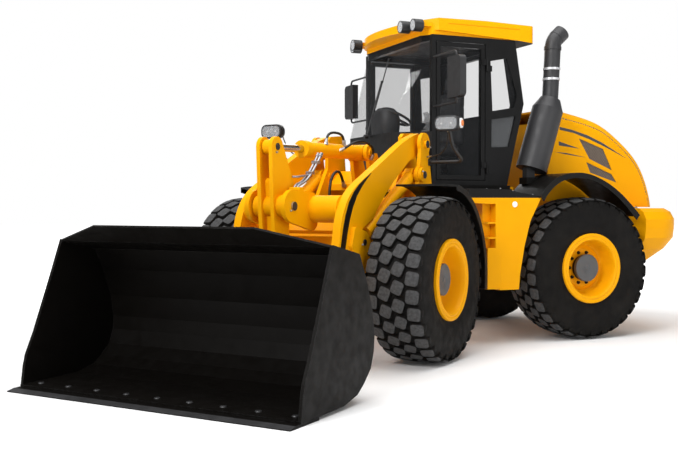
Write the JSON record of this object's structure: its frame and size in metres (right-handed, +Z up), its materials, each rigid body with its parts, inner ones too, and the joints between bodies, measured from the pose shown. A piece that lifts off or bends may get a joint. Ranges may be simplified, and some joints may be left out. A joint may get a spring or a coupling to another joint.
{
  "type": "articulated wheel loader",
  "caption": "Articulated wheel loader with an enclosed cab, four large tyres and a front bucket on a lever linkage.",
  "frame": {"origin": "centre of the footprint's bounding box, on the floor under the wheels", "axes": "+Y towards the rear of the machine along the rear frame, +X towards its left side, +Z up; it drives towards -Y"},
  "size_m": [5.0012, 7.3703, 3.3303],
  "materials": {
    "yellow_paint": "semi-gloss",
    "black_paint": "matte",
    "dark_grey_paint": "matte",
    "grey_steel": "painted matte",
    "rod_chrome": "polished",
    "pin_steel": "machined",
    "glass": "tinted",
    "tyre_rubber": "matte",
    "seat_fabric": "woven",
    "black_plastic": "grained",
    "edge_steel": "painted"
  },
  "bodies": {
    "rear_frame": {"rear_chassis": "yellow_paint", "rear_axle": "black_paint", "engine": "grey_steel", "counterweight": "yellow_paint", "rear_fenders": "black_paint", "side_tanks": "yellow_paint", "cab_frame": "black_paint", "cab_roof": "yellow_paint", "cab_glass": "glass", "cab_fittings": "black_plastic", "seat": "seat_fabric", "steering_column": "black_plastic", "exhaust": "dark_grey_paint"},
    "front_frame": {"front_chassis": "yellow_paint", "front_axle": "black_paint", "front_fenders": "black_paint", "headlamps": "black_plastic"},
    "lift_arm_set": {"lift_arms": "yellow_paint"},
    "bucket_pin_set": {"bucket_pins": "pin_steel"},
    "bucket_set": {"bucket": "black_paint", "cutting_edge": "edge_steel"},
    "lever_pin_set": {"lever_pin": "pin_steel"},
    "lever_set": {"bellcrank": "yellow_paint"},
    "link_pin_set": {"link_pin": "pin_steel"},
    "link_set": {"tilt_link": "yellow_paint"},
    "tilt_barrel_set": {"tilt_barrel": "yellow_paint"},
    "tilt_rod_set": {"tilt_rod": "rod_chrome"},
    "lift_barrel_set": {"lift_barrels": "yellow_paint"},
    "lift_rod_set": {"lift_rods": "rod_chrome"},
    "steer_barrel_set_left": {"steer_barrel_left": "yellow_paint"},
    "steer_rod_set_left": {"steer_rod_left": "rod_chrome"},
    "steer_barrel_set_right": {"steer_barrel_right": "yellow_paint"},
    "steer_rod_set_right": {"steer_rod_right": "rod_chrome"},
    "door_left_set": {"door_left": "black_paint", "door_glass_left": "glass"},
    "door_right_set": {"door_right": "black_paint", "door_glass_right": "glass"},
    "hood_set": {"hood": "yellow_paint"},
    "wheel_front_left": {"tyre_front_left": "tyre_rubber", "rim_front_left": "yellow_paint"},
    "wheel_front_right": {"tyre_front_right": "tyre_rubber", "rim_front_right": "yellow_paint"},
    "wheel_rear_left": {"tyre_rear_left": "tyre_rubber", "rim_rear_left": "yellow_paint"},
    "wheel_rear_right": {"tyre_rear_right": "tyre_rubber", "rim_rear_right": "yellow_paint"}
  },
  "joints": [
    {"name": "steer", "type": "hinge", "parent": "rear_frame", "child": "front_frame", "pos_m": [-1.1406, 0.5652, 0.86], "axis": [0, 0, 1], "range_deg": [-77, 3]},
    {"name": "lift", "type": "hinge", "parent": "front_frame", "child": "lift_arm_set", "pos_m": [-0.59897, -0.15357, 2], "axis": [-0.7986, -0.6018, 0], "range_deg": [0, 74]},
    {"name": "bucket_level", "type": "hinge", "parent": "lift_arm_set", "child": "bucket_pin_set", "pos_m": [0.68591, -1.85866, 0.44], "axis": [-0.7986, -0.6018, 0], "range_deg": [-74.1, 0]},
    {"name": "bucket_tilt", "type": "hinge", "parent": "bucket_pin_set", "child": "bucket_set", "pos_m": [0.68591, -1.85866, 0.44], "axis": [0.7986, 0.6018, 0], "range_deg": [-42, 45]},
    {"name": "lever_lift_share", "type": "hinge", "parent": "lift_arm_set", "child": "lever_pin_set", "pos_m": [0.44338, -1.53681, 1.4], "axis": [-0.7986, -0.6018, 0], "range_deg": [0, 16.83]},
    {"name": "lever_tilt_share", "type": "hinge", "parent": "lever_pin_set", "child": "lever_set", "pos_m": [0.44338, -1.53681, 1.4], "axis": [-0.7986, -0.6018, 0], "range_deg": [-11.42, 12.23]},
    {"name": "link_lift_share", "type": "hinge", "parent": "lever_set", "child": "link_pin_set", "pos_m": [0.42412, -1.51125, 0.593], "axis": [-0.7986, -0.6018, 0], "range_deg": [-54.01, 0]},
    {"name": "link_tilt_share", "type": "hinge", "parent": "link_pin_set", "child": "link_set", "pos_m": [0.42412, -1.51125, 0.593], "axis": [-0.7986, -0.6018, 0], "range_deg": [-27.04, 25.24]},
    {"name": "tilt_cylinder_swing", "type": "hinge", "parent": "front_frame", "child": "tilt_barrel_set", "pos_m": [-0.49064, -0.29733, 1.925], "axis": [-0.7986, -0.6018, 0], "range_deg": [0, 78.13]},
    {"name": "tilt_rod_slide", "type": "slide", "parent": "tilt_barrel_set", "child": "tilt_rod_set", "axis": [0.6017, -0.7985, -0.0155], "range_m": [-0.1032, 0.0963]},
    {"name": "lift_cylinder_swing", "type": "hinge", "parent": "front_frame", "child": "lift_barrel_set", "pos_m": [-0.53878, -0.23344, 1.7], "axis": [-0.7986, -0.6018, 0], "range_deg": [0, 78.74]},
    {"name": "lift_rod_slide", "type": "slide", "parent": "lift_barrel_set", "child": "lift_rod_set", "axis": [0.5236, -0.6948, -0.4931], "range_m": [0, 0.3697]},
    {"name": "steer_cylinder_swing_left", "type": "hinge", "parent": "rear_frame", "child": "steer_barrel_set_left", "pos_m": [-0.8106, 1.2052, 0.86], "axis": [0, 0, 1], "range_deg": [-25.26, 1]},
    {"name": "steer_rod_slide_left", "type": "slide", "parent": "steer_barrel_set_left", "child": "steer_rod_set_left", "axis": [0.1961, -0.9806, 0], "range_m": [-0.0185, 0.4721]},
    {"name": "steer_cylinder_swing_right", "type": "hinge", "parent": "rear_frame", "child": "steer_barrel_set_right", "pos_m": [-1.4706, 1.2052, 0.86], "axis": [0, 0, 1], "range_deg": [-27.41, 1.08]},
    {"name": "steer_rod_slide_right", "type": "slide", "parent": "steer_barrel_set_right", "child": "steer_rod_set_right", "axis": [0.2405, -0.9706, 0], "range_m": [-0.3967, 0.0156]},
    {"name": "wheel_front_left", "type": "hinge", "parent": "front_frame", "child": "wheel_front_left", "pos_m": [0.54435, -0.11718, 0.745], "axis": [0.7986, 0.6018, 0], "continuous": true},
    {"name": "wheel_rear_left", "type": "hinge", "parent": "rear_frame", "child": "wheel_rear_left", "pos_m": [-0.2056, 2.1212, 0.745], "axis": [1, 0, 0], "continuous": true},
    {"name": "wheel_front_right", "type": "hinge", "parent": "front_frame", "child": "wheel_front_right", "pos_m": [-0.9491, -1.24257, 0.745], "axis": [0.7986, 0.6018, 0], "continuous": true},
    {"name": "wheel_rear_right", "type": "hinge", "parent": "rear_frame", "child": "wheel_rear_right", "pos_m": [-2.0756, 2.1212, 0.745], "axis": [1, 0, 0], "continuous": true},
    {"name": "door_left", "type": "hinge", "parent": "rear_frame", "child": "door_left_set", "pos_m": [-0.3436, 1.0812, 2.3], "axis": [0, 0, 1], "range_deg": [0, 85]},
    {"name": "door_right", "type": "hinge", "parent": "rear_frame", "child": "door_right_set", "pos_m": [-1.9376, 1.0812, 2.3], "axis": [0, 0, -1], "range_deg": [0, 85]},
    {"name": "hood", "type": "hinge", "parent": "rear_frame", "child": "hood_set", "pos_m": [-1.1406, 2.1152, 2.405], "axis": [1, 0, 0], "range_deg": [0, 50]}
  ],
  "couplings": [
    {"joint": "bucket_level", "follows": "lift", "ratio": -1},
    {"joint": "lever_lift_share", "follows": "lift", "ratio": 0.2272},
    {"joint": "lever_tilt_share", "follows": "bucket_tilt", "ratio": 0.2715},
    {"joint": "link_lift_share", "follows": "lift", "ratio": -0.7297},
    {"joint": "link_tilt_share", "follows": "bucket_tilt", "ratio": -0.6006},
    {"joint": "tilt_cylinder_swing", "follows": "lift", "ratio": 1.0556},
    {"joint": "tilt_rod_slide", "follows": "bucket_tilt", "m_per_rad": -0.1312},
    {"joint": "lift_cylinder_swing", "follows": "lift", "ratio": 1.0639},
    {"joint": "lift_rod_slide", "follows": "lift", "m_per_rad": 0.2861},
    {"joint": "steer_cylinder_swing_left", "follows": "steer", "ratio": 0.3278},
    {"joint": "steer_rod_slide_left", "follows": "steer", "m_per_rad": -0.3512},
    {"joint": "steer_cylinder_swing_right", "follows": "steer", "ratio": 0.3558},
    {"joint": "steer_rod_slide_right", "follows": "steer", "m_per_rad": 0.2951}
  ]
}
